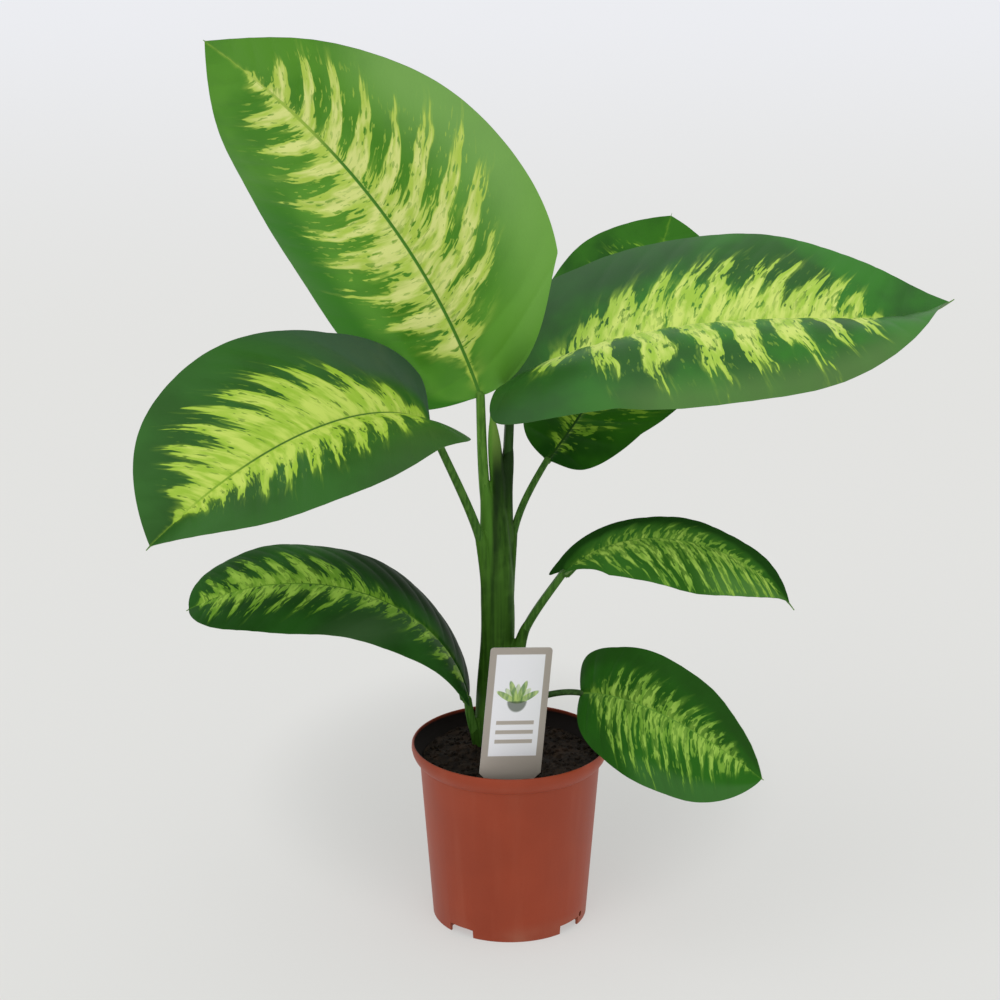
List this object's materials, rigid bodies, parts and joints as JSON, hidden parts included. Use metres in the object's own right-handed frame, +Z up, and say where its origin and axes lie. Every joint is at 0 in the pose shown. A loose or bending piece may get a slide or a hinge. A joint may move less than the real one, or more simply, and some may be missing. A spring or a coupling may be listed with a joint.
{
  "type": "potted dieffenbachia",
  "caption": "Leafy foliage plant with broad green and cream leaves on upright stalks, standing in soil in a round tapered plastic nursery pot with a plain plant label.",
  "frame": {"origin": "centre of the pot's flat underside, on the surface that it stands on", "axes": "+Z up along the pot's axis, -Y to the front, where the label stands, +X to the viewer's right"},
  "size_m": [0.667, 0.5191, 0.7778],
  "materials": {
    "pot_plastic": "satin",
    "soil": "matt, crumbly",
    "stem": "satin",
    "young_leaf": "waxy satin",
    "leaf": "waxy satin",
    "old_leaf": "waxy satin",
    "label": "satin"
  },
  "bodies": {
    "root": {"pot": "pot_plastic", "soil": "soil", "stem": "stem", "leaf_top": "young_leaf", "leaf_upper_right": "leaf", "leaf_back": "leaf", "leaf_left": "leaf", "leaf_low_left": "old_leaf", "leaf_low_right": "old_leaf", "leaf_bottom_right": "old_leaf", "plant_label": "label"}
  },
  "joints": []
}
